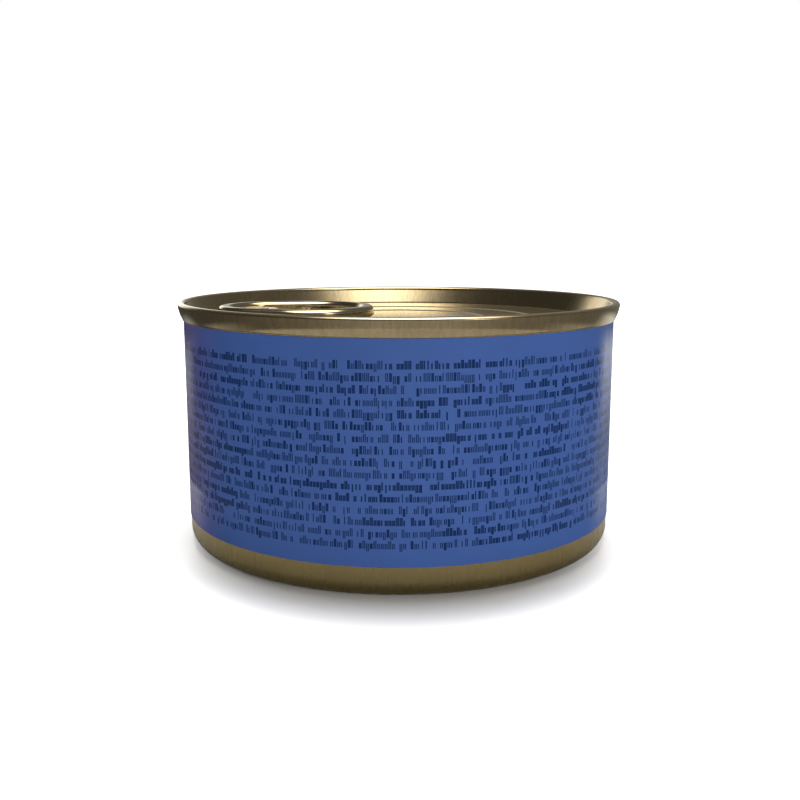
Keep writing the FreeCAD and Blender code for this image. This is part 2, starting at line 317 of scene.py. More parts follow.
class Nodes:
    """A small hand for building a material's node tree."""

    def __init__(self, name):
        self.material = bpy.data.materials.new(name)
        self.material.use_nodes = True
        self.tree = self.material.node_tree
        self.tree.nodes.clear()
        self.output = self.tree.nodes.new("ShaderNodeOutputMaterial")

    def add(self, kind, **settings):
        node = self.tree.nodes.new(kind)
        for key, value in settings.items():
            setattr(node, key, value)
        return node

    def join(self, source, target):
        self.tree.links.new(source, target)

    def feed(self, socket, value):
        """A value into a socket: a link from another socket, or a number set on it."""
        if isinstance(value, bpy.types.NodeSocket):
            self.join(value, socket)
        else:
            socket.default_value = value

    def math(self, operation, first, second=0.0):
        node = self.add("ShaderNodeMath", operation=operation)
        self.feed(node.inputs[0], first)
        self.feed(node.inputs[1], second)
        return node.outputs[0]

    def times(self, total, *values):
        """All the values multiplied together."""
        for value in values:
            total = self.math("MULTIPLY", total, value)
        return total

    def plus(self, total, *values):
        """All the values added up."""
        for value in values:
            total = self.math("ADD", total, value)
        return total

    def minus(self, first, second):
        return self.math("SUBTRACT", first, second)

    def over(self, first, second):
        return self.math("DIVIDE", first, second)

    def above(self, value, limit):
        """1 where the value is more than the limit, and 0 elsewhere."""
        return self.math("GREATER_THAN", value, limit)

    def below(self, value, limit):
        """1 where the value is less than the limit, and 0 elsewhere."""
        return self.math("LESS_THAN", value, limit)

    def distance(self, first, second):
        """The root of the sum of two squares."""
        return self.math("SQRT", self.plus(self.math("POWER", first, 2.0), self.math("POWER", second, 2.0)))

    def split(self, vector):
        """The three parts of a vector."""
        node = self.add("ShaderNodeSeparateXYZ")
        self.join(vector, node.inputs[0])
        return node.outputs

    def coordinates(self, scale, rotation=(0.0, 0.0, 0.0)):
        """Object coordinates, turned and stretched."""
        place = self.add("ShaderNodeTexCoord")
        mapping = self.add("ShaderNodeMapping")
        mapping.inputs["Rotation"].default_value = rotation
        mapping.inputs["Scale"].default_value = scale
        self.join(place.outputs["Object"], mapping.inputs["Vector"])
        return mapping.outputs["Vector"]

    def noise(self, vector, detail, roughness=0.5):
        node = self.add("ShaderNodeTexNoise")
        node.inputs["Scale"].default_value = 1.0
        node.inputs["Detail"].default_value = detail
        node.inputs["Roughness"].default_value = roughness
        self.join(vector, node.inputs["Vector"])
        return node.outputs["Fac"]

    def ranged(self, value, low, high, new_low, new_high):
        """A straight change from one number at the low end to another at the high end, level beyond both."""
        node = self.add("ShaderNodeMapRange")
        for socket, setting in zip(node.inputs, (value, low, high, new_low, new_high)):
            self.feed(socket, setting)
        return node.outputs["Result"]

    def blend(self, factor, first, second):
        """A mix of two colours, each a socket or three numbers."""
        node = self.add("ShaderNodeMix", data_type="RGBA")
        self.feed(node.inputs["Factor"], factor)
        for key, value in (("A", first), ("B", second)):
            socket = [s for s in node.inputs if s.name == key and s.type == "RGBA"][0]
            self.feed(socket, value if isinstance(value, bpy.types.NodeSocket) else (*value, 1.0))
        return [s for s in node.outputs if s.type == "RGBA"][0]

    def bumped(self, height, distance):
        """A surface direction that follows a height, whose full range is a distance."""
        node = self.add("ShaderNodeBump")
        node.inputs["Strength"].default_value = 1.0
        node.inputs["Distance"].default_value = distance
        self.join(height, node.inputs["Height"])
        return node.outputs["Normal"]

    def surface(self, **settings):
        """The principled shader with its sockets set or linked, joined to the output."""
        shader = self.add("ShaderNodeBsdfPrincipled")
        for key, value in settings.items():
            self.feed(shader.inputs[key.replace("_", " ")], value)
        self.join(shader.outputs["BSDF"], self.output.inputs["Surface"])
        return self.material


def scaled(values, factor):
    """A colour made lighter or darker by a factor."""
    return tuple(min(1.0, value * factor) for value in values)


def clouded(nodes, base, scale, dark, light):
    """A colour that drifts between a darker and a lighter tone of itself in soft clouds."""
    clouds = nodes.noise(nodes.coordinates((scale, scale, scale)), 2.0)
    return nodes.blend(nodes.ranged(clouds, 0.3, 0.7, 0.0, 1.0), scaled(base, dark), scaled(base, light))


def bearings(nodes):
    """Bearing round the can in degrees, 0 at the front and positive to +X, with the elevation in degrees and
    the height in metres, of each point in Object coordinates."""
    x, y, z = nodes.split(nodes.add("ShaderNodeTexCoord").outputs["Object"])
    degree = 180.0 / math.pi
    bearing = nodes.times(nodes.math("ARCTAN2", x, nodes.times(y, -1.0)), degree)
    elevation = nodes.times(nodes.math("ARCTAN2", z, nodes.distance(x, y)), degree)
    return bearing, elevation, z


def drawn_gold(name, base):
    """Gold-lacquered metal drawn into a cup: fine upright streaks and slow changes of tone."""
    nodes = Nodes(name)
    streaks = nodes.noise(nodes.coordinates((1500.0, 1500.0, 25.0)), 4.0, 0.6)
    return nodes.surface(
        Base_Color=clouded(nodes, base, 90.0, 0.94, 1.06), Metallic=1.0, Specular_Tint=EDGE_TINT,
        Roughness=nodes.ranged(streaks, 0.3, 0.7, 0.26, 0.3), Normal=nodes.bumped(streaks, 0.002 * MM))


def stamped_gold(name, base):
    """Gold-lacquered sheet: level parts with a satin lacquer and a soft straight rolling grain, and steep parts
    of plain metal with fine upright drawing streaks. How steep a part is comes from its face's upright share."""
    nodes = Nodes(name)
    grain = nodes.noise(nodes.coordinates((320.0, 40.0, 320.0), (0.0, 0.0, math.radians(35.0))), 3.0, 0.5)
    streaks = nodes.noise(nodes.coordinates((2100.0, 2100.0, 130.0)), 3.0, 0.6)
    upright = nodes.split(nodes.add("ShaderNodeNewGeometry").outputs["Normal"])[2]
    steep = nodes.ranged(nodes.math("ABSOLUTE", upright), 0.5, 0.85, 1.0, 0.0)
    shade = nodes.ranged(steep, 0.0, 1.0, 1.0, nodes.ranged(streaks, 0.35, 0.65, 0.9, 1.08))
    toned = nodes.add("ShaderNodeVectorMath", operation="SCALE")
    nodes.join(clouded(nodes, base, 110.0, 0.95, 1.05), toned.inputs[0])
    nodes.join(shade, toned.inputs["Scale"])
    return nodes.surface(
        Base_Color=toned.outputs[0], Metallic=nodes.ranged(steep, 0.0, 1.0, 0.78, 1.0), Specular_Tint=EDGE_TINT,
        Roughness=nodes.ranged(grain, 0.3, 0.7, 0.135, 0.155),
        Normal=nodes.bumped(nodes.times(streaks, steep), 0.003 * MM))


def rolled_gold(name, base):
    """Pale gold metal of the tab, with light rubbing marks."""
    nodes = Nodes(name)
    rubs = nodes.noise(nodes.coordinates((1400.0, 500.0, 1400.0)), 4.0, 0.6)
    return nodes.surface(
        Base_Color=clouded(nodes, base, 260.0, 0.93, 1.05), Metallic=1.0, Specular_Tint=EDGE_TINT,
        Roughness=nodes.ranged(rubs, 0.3, 0.7, 0.1, 0.18), Normal=nodes.bumped(rubs, 0.003 * MM))


def random_of(nodes, first, second):
    """A random number for each pair of whole numbers."""
    pair = nodes.add("ShaderNodeCombineXYZ")
    nodes.feed(pair.inputs[0], first)
    nodes.feed(pair.inputs[1], second)
    noise = nodes.add("ShaderNodeTexWhiteNoise", noise_dimensions="2D")
    nodes.join(pair.outputs[0], noise.inputs["Vector"])
    return noise.outputs["Value"]


def printed_marks(nodes, sizes):
    """How much ink there is at each place of the rows: 1 on the small upright blocks, less in the middle of some,
    and 0 between them. Blocks stand on a regular pitch along each row; random numbers leave some out, make some
    narrow, and set where each one's top and foot are. In some stretches of a row the blocks are heavier. Widths
    are shares of the pitch, tops and feet are shares of the row, and a fraction added to a cell or a row keeps
    one draw apart from the next."""
    left_out, narrow_ones, tall_ones, deep_ones, heavy_ones, solid_ones = 0.15, 0.24, 0.32, 0.12, 0.28, 0.3
    usual_width, narrower_by, heavier_by, stretch_length = 0.76, 0.4, 0.1, 19.0
    middle_start, middle_end, middle_lack, heavy_fill = 0.26, 0.52, 0.7, 0.5
    usual_top, tall_top, usual_foot, deep_foot = 0.3, 0.07, 0.77, 0.97
    across, up, _ = nodes.split(nodes.add("ShaderNodeUVMap", uv_map="unwrapped").outputs["UV"])
    line = nodes.over(nodes.minus(sizes.first_row / MM, up), sizes.row_pitch / MM)
    row = nodes.math("FLOOR", line)
    within_row = nodes.math("FRACT", line)
    shift = nodes.times(random_of(nodes, row, 0.5), 50.0)
    along = nodes.plus(nodes.over(across, sizes.mark_pitch / MM), shift)
    cell = nodes.math("FLOOR", along)
    within_cell = nodes.math("FRACT", along)
    width_chance = random_of(nodes, nodes.plus(cell, 0.37), row)
    height_chance = random_of(nodes, cell, nodes.plus(row, 0.41))
    open_chance = random_of(nodes, nodes.plus(cell, 0.19), nodes.plus(row, 0.23))
    stretch = nodes.math("FLOOR", nodes.over(along, stretch_length))
    heavy = nodes.above(random_of(nodes, stretch, row), 1.0 - heavy_ones)
    width = nodes.minus(usual_width, nodes.times(nodes.below(width_chance, narrow_ones), narrower_by))
    width = nodes.plus(width, nodes.times(heavy, heavier_by))
    middle = nodes.times(nodes.above(within_cell, middle_start), nodes.below(within_cell, middle_end))
    lightened = nodes.minus(middle_lack, nodes.times(heavy, heavy_fill))
    opened = nodes.times(nodes.above(open_chance, solid_ones), lightened)
    block = nodes.times(nodes.below(within_cell, width), nodes.minus(1.0, nodes.times(middle, opened)))
    top = nodes.ranged(nodes.above(height_chance, 1.0 - tall_ones), 0.0, 1.0, usual_top, tall_top)
    foot = nodes.ranged(nodes.below(height_chance, deep_ones), 0.0, 1.0, usual_foot, deep_foot)
    shown = nodes.above(random_of(nodes, cell, row), left_out)
    tall = nodes.times(nodes.above(within_row, top), nodes.below(within_row, foot))
    in_rows = nodes.times(nodes.above(line, 0.0), nodes.below(line, float(sizes.rows)))
    return nodes.times(nodes.times(block, shown), nodes.times(tall, in_rows))


def printed_wrap(name, colours, sizes):
    """Varnished blue print with rows of small dark marks. On the left the blue goes to a darker violet, which is
    painted reflection and shade, and back to blue behind. The varnish lies on the ink as a coat, whose weight changes
    with how far the wall turns away and is less near the lower edge."""
    nodes = Nodes(name)
    marks = printed_marks(nodes, sizes)
    bearing, _, height = bearings(nodes)
    # Painted reflection and shade: the ground turns a darker violet on the side seen to the left and back to blue
    # behind.
    violet = nodes.times(
        nodes.ranged(bearing, -46.0, -68.0, 0.0, 0.85), nodes.ranged(bearing, -112.0, -150.0, 1.0, 0.0))
    ground = nodes.blend(violet, clouded(nodes, colours.print_blue, 70.0, 0.96, 1.04), tuple(colours.painted_sheen_violet))
    ripple = nodes.noise(nodes.coordinates((160.0, 160.0, 60.0)), 2.0)
    turning = nodes.add("ShaderNodeLayerWeight")
    turning.inputs["Blend"].default_value = 0.5
    away = turning.outputs["Facing"]
    varnish = nodes.times(
        nodes.ranged(away, 0.6, 0.74, 0.22, 1.0), nodes.ranged(away, 0.76, 0.88, 1.0, 0.62),
        nodes.ranged(height, 5 * MM, 14 * MM, 0.4, 1.0))
    return nodes.surface(
        Base_Color=nodes.blend(marks, ground, tuple(colours.mark_navy)), Roughness=0.5, Specular_IOR_Level=0.0,
        Coat_Weight=varnish, Coat_Roughness=0.12, Coat_Normal=nodes.bumped(ripple, 0.01 * MM))


# ---------------------------------------------------------------- pieces

def cup_profile(cup):
    """Radius and height from the middle of the base outwards, up the wall, and back over a top that lies a step
    lower under the end. The base's height is its recess less a smooth step down to the standing ring, plus a
    round hill for each bead."""
    ring_outer = cup.wall_radius - cup.corner_radius
    ring_inner = ring_outer - cup.ring_width
    radius = np.linspace(0.0, ring_inner, 150)
    height = cup.recess_depth * (1.0 - smooth_step(ring_inner - cup.recess_slope, ring_inner, radius))
    for bead in (cup.inner_bead, cup.outer_bead):
        height = height + cup.bead_height * bump(radius, bead, cup.bead_width)
    base = np.stack([radius, height], axis=1)
    ring = straight((ring_inner, 0.0), (ring_outer, 0.0), 5)
    corner = arc((ring_outer, cup.corner_radius), cup.corner_radius, -90, 0, 20)
    wall = straight((cup.wall_radius, cup.corner_radius), (cup.wall_radius, cup.wall_top), 24)
    inside = cup.wall_radius - cup.top_width
    step = cup.wall_top - cup.top_step
    top = straight((cup.wall_radius, cup.wall_top), (inside, cup.wall_top), 3)
    drop = straight((inside, cup.wall_top), (inside, step), 3)
    return joined(base, ring, corner, wall, top, drop, straight((inside, step), (0.0, step), 4))


def wrap_shape(cup, label, segments):
    """A closed sleeve: a four-sided section carried round the wall. Its outer face stands out by nearly a second
    thickness over the lap at the back, which begins with a sharp step and ends with a gentle one."""
    lap_share = 0.96
    edge_turn = 0.0004
    half_lap = label.lap_width / cup.wall_radius / 2
    start, end = math.pi / 2 - half_lap, math.pi / 2 + half_lap
    angles = np.sort(np.concatenate([angles_round(segments), [start - edge_turn, start]]))
    lap = (angles >= start) * (1.0 - smooth_step(end, end + 0.6 * half_lap, angles))
    inner = np.full(len(angles), cup.wall_radius)
    outer = cup.wall_radius + label.thickness * (1.0 + lap_share * lap)
    heights = np.linspace(label.low, label.high, 24)
    radius = np.concatenate([np.repeat(outer[None], len(heights), axis=0), inner[None], inner[None]])
    level = np.concatenate([heights, [label.high, label.low]])
    vertices = points_round(radius, angles, level[:, None])
    return vertices, outward(vertices, grid_quads(len(level), len(angles), True, True).tolist())


def unwrap(made, wall_radius):
    """A UV map in millimetres: arc length round the wall from the front, and height."""
    mesh = made.data
    places = np.empty(len(mesh.vertices) * 3)
    mesh.vertices.foreach_get("co", places)
    places = places.reshape(-1, 3)
    corners = np.empty(len(mesh.loops), int)
    mesh.loops.foreach_get("vertex_index", corners)
    turn = np.arctan2(places[:, 0], -places[:, 1])[corners].reshape(-1, 4)
    behind = turn.max(axis=1) - turn.min(axis=1) > math.pi
    turn = np.where(behind[:, None] & (turn < 0), turn + 2 * math.pi, turn)
    along = turn.reshape(-1) * wall_radius / MM
    height = places[:, 2][corners] / MM
    layer = mesh.uv_layers.new(name="unwrapped")
    layer.data.foreach_set("uv", np.stack([along, height], axis=1).reshape(-1))


def end_profile(cup, lid):
    """Radius and height of the end from the middle of its panel out over the seam and back underneath. The
    panel's height is level, plus a round hill for each bead, less a narrow one for the score line; the
    countersink and the lip are half ellipses, and the chuck wall is a straight slope. The hidden underside is
    one sheet thickness lower, in plain steps."""
    panel = lid.top - lid.panel_depth
    foot = cup.wall_radius - lid.foot_inset
    edge = foot - lid.groove_width
    score = edge - lid.score_inset
    fine = np.linspace(score - lid.score_width / 2, score + lid.score_width / 2, 13)
    beads = [np.linspace(b - lid.bead_width / 2, b + lid.bead_width / 2, 17) for b in (lid.inner_bead, lid.outer_bead)]
    radius = np.unique(np.concatenate([np.linspace(0.0, edge, 60), fine] + beads))
    height = np.full(len(radius), panel)
    for bead in (lid.inner_bead, lid.outer_bead):
        height = height + lid.bead_height * bump(radius, bead, lid.bead_width)
    height = height - lid.score_depth * bump(radius, score, lid.score_width)
    top = np.stack([radius, height], axis=1)
    groove = oval(((edge + foot) / 2, panel), lid.groove_width / 2, lid.groove_depth, -180, 0, 15)
    lip_level = lid.top - lid.lip_rise
    lip_inner = lid.lip_radius - 2 * lid.lip_half
    chuck = straight((foot, panel), (lip_inner, lip_level), 14)
    lip = oval((lid.lip_radius - lid.lip_half, lip_level), lid.lip_half, lid.lip_rise, 180, 0, 21)
    seam_foot = lid.top - lid.seam_height
    foot_radius = cup.wall_radius + lid.foot_reach
    wall = bowed((lid.lip_radius, lip_level), (foot_radius, seam_foot + lid.foot_round), -lid.bulge, 18)
    tuck = arc((foot_radius - lid.foot_round, seam_foot + lid.foot_round), lid.foot_round, 0, -90, 8)
    outside, inside = foot + lid.sheet, edge - lid.sheet
    panel_under = panel - lid.sheet
    groove_under = panel_under - lid.groove_depth
    under = joined(
        straight((foot_radius - lid.foot_round, seam_foot), (outside, seam_foot), 3),
        straight((outside, seam_foot), (outside, groove_under), 3),
        straight((outside, groove_under), (inside, groove_under), 3),
        straight((inside, panel_under), (0.0, panel_under), 4))
    return joined(top, groove, chuck, lip, wall, tuck, under)


def rivet_profile(lid, tab):
    """Radius and height of the rivet from its head's dimple outwards and down to its root in the panel: the
    head with rounded edges, the shank through the tab, the pad under the tab, and a hollow quarter circle down
    to the panel."""
    panel = lid.top - lid.panel_depth
    pad_top = tab.underside + tab.tongue_lift
    head_under = pad_top + tab.tongue_sheet
    head_top = head_under + lid.rivet_height
    edge_round = 0.46 * lid.rivet_height
    dimple_depth = 0.45 * lid.rivet_height
    dimple_low, dimple_high = 0.275 * lid.rivet_head, 0.5 * lid.rivet_head
    pad_round, skirt_round = 0.12 * MM, 0.3 * MM
    radius = np.linspace(0.0, lid.rivet_head - edge_round, 24)
    height = head_top - dimple_depth * (1.0 - smooth_step(dimple_low, dimple_high, radius))
    crown = np.stack([radius, height], axis=1)
    upper = arc((lid.rivet_head - edge_round, head_top - edge_round), edge_round, 90, 0, 9)
    lower = arc((lid.rivet_head - edge_round, head_under + edge_round), edge_round, 0, -90, 9)
    shank = straight((lid.rivet_shank, head_under), (lid.rivet_shank, pad_top), 3)
    pad = arc((lid.rivet_pad - pad_round, pad_top - pad_round), pad_round, 90, 0, 6)
    skirt_radius = lid.rivet_pad + skirt_round
    skirt = arc((skirt_radius, panel + skirt_round), skirt_round, 180, 270, 6)
    skirt = skirt[skirt[:, 1] < pad_top - pad_round]
    root = straight((skirt_radius, panel - lid.sheet / 2), (0.0, panel - lid.sheet / 2), 3)
    return joined(crown, upper, lower, shank, pad, skirt, root)


def tab_places(cup, lid, tab):
    """Where the tab's heel centre, nose centre, rivet and crossbar lie along its own axis, from the can's middle."""
    nose = cup.wall_radius - lid.foot_inset - tab.nose_gap
    rivet = nose - tab.rivet_from_nose
    return {
        "heel": nose - tab.length + tab.heel_radius,
        "nose": nose - tab.nose_radius,
        "rivet": rivet,
        "bar": rivet - tab.bar_from_rivet,
    }


def tangent_lean(tab, places):
    """The angle from the tab's axis at which its sides, the common tangents, touch the circles of its two ends:
    its cosine is the difference of their radii over the distance of their centres."""
    return math.acos((tab.heel_radius - tab.nose_radius) / (places["nose"] - places["heel"]))


def rim_path(tab, places, inset, count):
    """The tab's plan outline moved inwards: two arcs, at the heel and the nose, joined by their common
    tangents. Returns the points, evenly shared out along each stretch, and the outward directions there."""
    heel = tab.heel_radius - inset
    nose = tab.nose_radius - inset
    lean = math.degrees(tangent_lean(tab, places))
    heel_arc = arc((places["heel"], 0.0), heel, lean, 360 - lean, count)
    nose_arc = arc((places["nose"], 0.0), nose, -lean, lean, count)
    side = straight(heel_arc[-1], nose_arc[0], count // 4)
    other = straight(nose_arc[-1], heel_arc[0], count // 4)
    points = np.concatenate([heel_arc, side[1:-1], nose_arc, other[1:-1]])
    angles = np.radians(np.concatenate([
        np.linspace(lean, 360 - lean, count), np.full(len(side) - 2, -lean),
        np.linspace(-lean, lean, count), np.full(len(other) - 2, lean)]))
    return points, np.stack([np.cos(angles), np.sin(angles)], axis=1)


def rounded_section(width, height, top_round, foot_round):
    """A closed rounded rectangle about its own middle: four quarter circles joined by straight sides."""
    across, up = width / 2, height / 2
    path = np.concatenate([
        arc((across - top_round, up - top_round), top_round, 0, 90, 10),
        arc((top_round - across, up - top_round), top_round, 90, 180, 10),
        arc((foot_round - across, foot_round - up), foot_round, 180, 270, 8),
        arc((across - foot_round, foot_round - up), foot_round, 270, 360, 8)])
    return path[:, 0], path[:, 1]


def rim_shape(tab, places):
    """The rolled rim: a rounded rectangle carried round the tab's outline."""
    points, directions = rim_path(tab, places, tab.rim_width / 2, 72)
    across, up = rounded_section(tab.rim_width, tab.rim_height, tab.top_round, tab.foot_round)
    plan = points[:, None, :] + directions[:, None, :] * across[None, :, None]
    height = np.broadcast_to(tab.underside + tab.rim_height / 2 + up, plan.shape[:2])
    vertices = np.concatenate([plan, height[..., None]], axis=-1).reshape(-1, 3)
    return vertices, outward(vertices, grid_quads(len(points), len(across), True, True).tolist())


def half_width(tab, places, along, inset):
    """Half the width of the tab's outline, moved inwards, at each place along its axis: the nearer of the two
    circles or of their common tangent."""
    heel = tab.heel_radius - inset
    nose = tab.nose_radius - inset
    lean = tangent_lean(tab, places)
    tangent = (heel - (along - places["heel"]) * math.cos(lean)) / math.sin(lean)
    heel_side = np.sqrt(np.maximum(heel ** 2 - (along - places["heel"]) ** 2, 0.0))
    nose_side = np.sqrt(np.maximum(nose ** 2 - (along - places["nose"]) ** 2, 0.0))
    start = places["heel"] + heel * math.cos(lean)
    end = places["nose"] + nose * math.cos(lean)
    return np.where(along < start, heel_side, np.where(along > end, nose_side, tangent))


def bar_shape(tab, places):
    """The crossbar: a rounded rectangle carried from side to side of the rim, and wider towards its ends by the
    sixth power of the way there. The two ends are closed, inside the rim."""
    end_flare = 0.3
    reach = float(half_width(tab, places, np.array([places["bar"]]), tab.rim_width / 2)[0])
    across_tab = np.linspace(-reach, reach, 33)
    flare = 1.0 + end_flare * (np.abs(across_tab) / reach) ** 6
    across, up = rounded_section(tab.bar_width, tab.bar_height, tab.bar_round, tab.bar_round)
    x = places["bar"] + flare[:, None] * across[None]
    y = np.broadcast_to(across_tab[:, None], x.shape)
    z = np.broadcast_to(tab.underside + tab.bar_lift + tab.bar_height / 2 + up[None], x.shape)
    vertices = np.stack([x, y, z], axis=-1).reshape(-1, 3)
    around = len(across)
    sides = grid_quads(len(across_tab), around, False, True).tolist()
    ends = [list(range(around))[::-1], list(range(len(vertices) - around, len(vertices)))]
    return vertices, outward(vertices, sides + ends)


def rim_reach(tab, places, angles):
    """How far it is from the rivet to the inner part of the rim, or to the crossbar, in each direction: found by
    halving the stretch that holds the place forty times over."""
    under_rim = 0.62 * tab.rim_width
    low = np.zeros(len(angles))
    high = np.full(len(angles), tab.length)
    for _ in range(40):
        middle = (low + high) / 2
        x = places["rivet"] + middle * np.cos(angles)
        y = np.abs(middle * np.sin(angles))
        inside = (y < half_width(tab, places, x, under_rim)) & (x > places["bar"])
        low = np.where(inside, middle, low)
        high = np.where(inside, high, middle)
    return low


def tongue_shape(tab, places, lid):
    """The sheet round the rivet. In polar terms about the rivet, rings run from the rivet's hole to the slot,
    over the slot and on to the rim. Quads that lie in the slot are left out, and the sheet rises a little past
    the slot and turns up to meet the rim. Top and bottom sheets are closed by walls."""
    rays, inner_rings = 144, 5
    hole_gap, slot_rise = 0.05 * MM, 0.06 * MM
    rim_rise = 0.25 * tab.rim_height
    angles = angles_round(rays)
    reach = rim_reach(tab, places, angles)
    slot_in = tab.slot_radius - tab.slot_width / 2
    slot_out = tab.slot_radius + tab.slot_width / 2
    stations = np.concatenate([
        np.linspace(lid.rivet_shank + hole_gap, slot_in, inner_rings)[None].repeat(rays, 0),
        np.full((rays, 1), slot_out),
        slot_out + (reach[:, None] - slot_out) * np.linspace(0.0, 1.0, 12)[None, 1:]], axis=1).T
    share = np.clip((stations - slot_out) / np.maximum(reach - slot_out, 1e-6), 0.0, 1.0)
    lift = rim_rise * smooth_step(0.7, 1.0, share) + slot_rise * smooth_step(0.0, 0.3, share)
    base = tab.underside + tab.tongue_lift + lift
    vertices = np.concatenate([
        points_round(stations, angles, base + up, (places["rivet"], 0.0)) for up in (0.0, tab.tongue_sheet)])
    quads = grid_quads(len(stations), rays, False, True)
    away = np.abs(np.angle(np.exp(1j * (angles[quads[:, 0] % rays] + math.pi / rays - math.pi))))
    in_slot = (quads[:, 0] // rays == inner_rings - 1) & (away < tab.slot_sweep / 2)
    bottom = quads[~in_slot]
    in_sheet = len(stations) * rays
    top = bottom[:, ::-1] + in_sheet
    edges = np.concatenate([bottom[:, [i, (i + 1) % 4]] for i in range(4)])
    codes = edges[:, 0] * in_sheet + edges[:, 1]
    backs = edges[:, 1] * in_sheet + edges[:, 0]
    rim = edges[~np.isin(codes, backs)]
    walls = np.stack([rim[:, 1], rim[:, 0], rim[:, 0] + in_sheet, rim[:, 1] + in_sheet], axis=1)
    return vertices, outward(vertices, bottom.tolist() + top.tolist() + walls.tolist())


def turned_to_place(shape, tab):
    """A shape built along +X, turned about the can's axis to the tab's direction."""
    vertices, faces = shape
    x, y, z = vertices.T
    cosine, sine = math.cos(math.pi - tab.turn), math.sin(math.pi - tab.turn)
    return np.stack([x * cosine - y * sine, x * sine + y * cosine, z], axis=1), faces


# ---------------------------------------------------------------- stage

def revolved(profile):
    """An open turned surface: each profile point's radius turned to every angle about the upright axis."""
    vertices = points_round(profile[:, :1], angles_round(STAGE_SEGMENTS), profile[:, 1:])
    return vertices, grid_quads(len(profile), STAGE_SEGMENTS, False, True).tolist()


def floor_disc():
    """A flat disc just under the can's ring: rings round the middle, and one many-sided face inside them."""
    radius, drop = 1.2, 0.02 * MM
    vertices, faces = revolved(straight((0.0, -drop), (radius, -drop), 60)[1:])
    return vertices, faces + [list(range(STAGE_SEGMENTS))]


def dome_shell():
    """A half ball over the stage, from the floor up to a small opening at its top."""
    radius, top_angle = 2.5, 89.5
    return revolved(arc((0.0, 0.0), radius, 0.0, top_angle, 40))


def screen_ring():
    """An open ring that stands on the floor round the can. It is near behind, and further off in front by a
    power of how much each angle faces the front."""
    near, extra, height, levels = 50.0 * MM, 28.0 * MM, 36.0 * MM, 7
    angles = angles_round(STAGE_SEGMENTS)
    reach = near + extra * ((1.0 - np.sin(angles)) / 2) ** 1.5
    vertices = points_round(
        np.repeat(reach[None], levels, axis=0), angles, np.linspace(0.0, height, levels)[:, None])
    return vertices, grid_quads(levels, STAGE_SEGMENTS, False, True).tolist()


def stage_mesh(name, shape, material, for_reflections_only=False):
    """A smooth mesh that belongs to the stage. One that is for reflections only is hidden from all else."""
    made = smooth_object(name, shape, material)
    if for_reflections_only:
        for sight in ("camera", "diffuse", "transmission", "shadow", "volume_scatter"):
            setattr(made, "visible_" + sight, False)


def white_glow(nodes, level):
    """A white emission of a level."""
    glow = nodes.add("ShaderNodeEmission")
    glow.inputs["Color"].default_value = WHITE
    nodes.join(level, glow.inputs["Strength"])
    return glow.outputs[0]


def glow_material(nodes, level):
    """A material that only shines white, at a level."""
    nodes.join(white_glow(nodes, level), nodes.output.inputs["Surface"])
    return nodes.material


def pale_floor(name):
    """Pale floor that keeps the can's shadow. Away from a small patch under and before the can it grows, by its own
    light, to plain white: nearby to the camera, and further off in reflections as well. Holding this light back in the
    patch paints shadow there, which deepens and shapes the lamps' real shadow. Nearby it is a little darker in
    reflections: painted shade, as if the can stood on a softly shaded patch."""
    nodes = Nodes(name)
    path = nodes.add("ShaderNodeLightPath").outputs
    x, y, _ = nodes.split(nodes.add("ShaderNodeTexCoord").outputs["Object"])
    from_can = nodes.distance(x, y)
    from_shade = nodes.distance(x, nodes.plus(y, 12 * MM))
    nearby = nodes.ranged(from_can, 80 * MM, 130 * MM, 1.0, 0.0)
    # Painted shade: in reflections the floor near the can takes a darker colour.
    shaded = nodes.times(nearby, path["Is Glossy Ray"])
    diffuse = nodes.add("ShaderNodeBsdfDiffuse")
    nodes.join(nodes.blend(shaded, (0.9, 0.895, 0.89), (0.62, 0.615, 0.61)), diffuse.inputs["Color"])
    # Painted shadow: the camera-only glow is held back in a patch under and before the can, which shapes the shadow
    # there.
    near = nodes.math("POWER", nodes.ranged(from_shade, 21 * MM, 31 * MM, 0.0, 1.0), 2.0)
    near = nodes.times(near, 0.45, path["Is Camera Ray"])
    seen = nodes.math("MAXIMUM", path["Is Camera Ray"], path["Is Glossy Ray"])
    seen = nodes.math("MAXIMUM", seen, path["Is Transmission Ray"])
    far = nodes.times(nodes.ranged(from_can, 70 * MM, 140 * MM, 0.0, 1.0), 0.55, seen)
    both = nodes.add("ShaderNodeAddShader")
    nodes.join(diffuse.outputs[0], both.inputs[0])
    nodes.join(white_glow(nodes, nodes.plus(near, far)), both.inputs[1])
    nodes.join(both.outputs[0], nodes.output.inputs["Surface"])
    return nodes.material


def soft_peak(nodes, place, centre, width, power):
    """1 at a centre and falling off on both sides: one over one plus a power of the distance in widths."""
    away = nodes.math("ABSOLUTE", nodes.over(nodes.minus(place, centre), width))
    return nodes.over(1.0, nodes.plus(1.0, nodes.math("POWER", away, power)))


def front_card(nodes, bearing):
    """The pale card before the can, which both the screen and the dome show."""
    return soft_peak(nodes, bearing, 5.0, 38.0, 2.0)


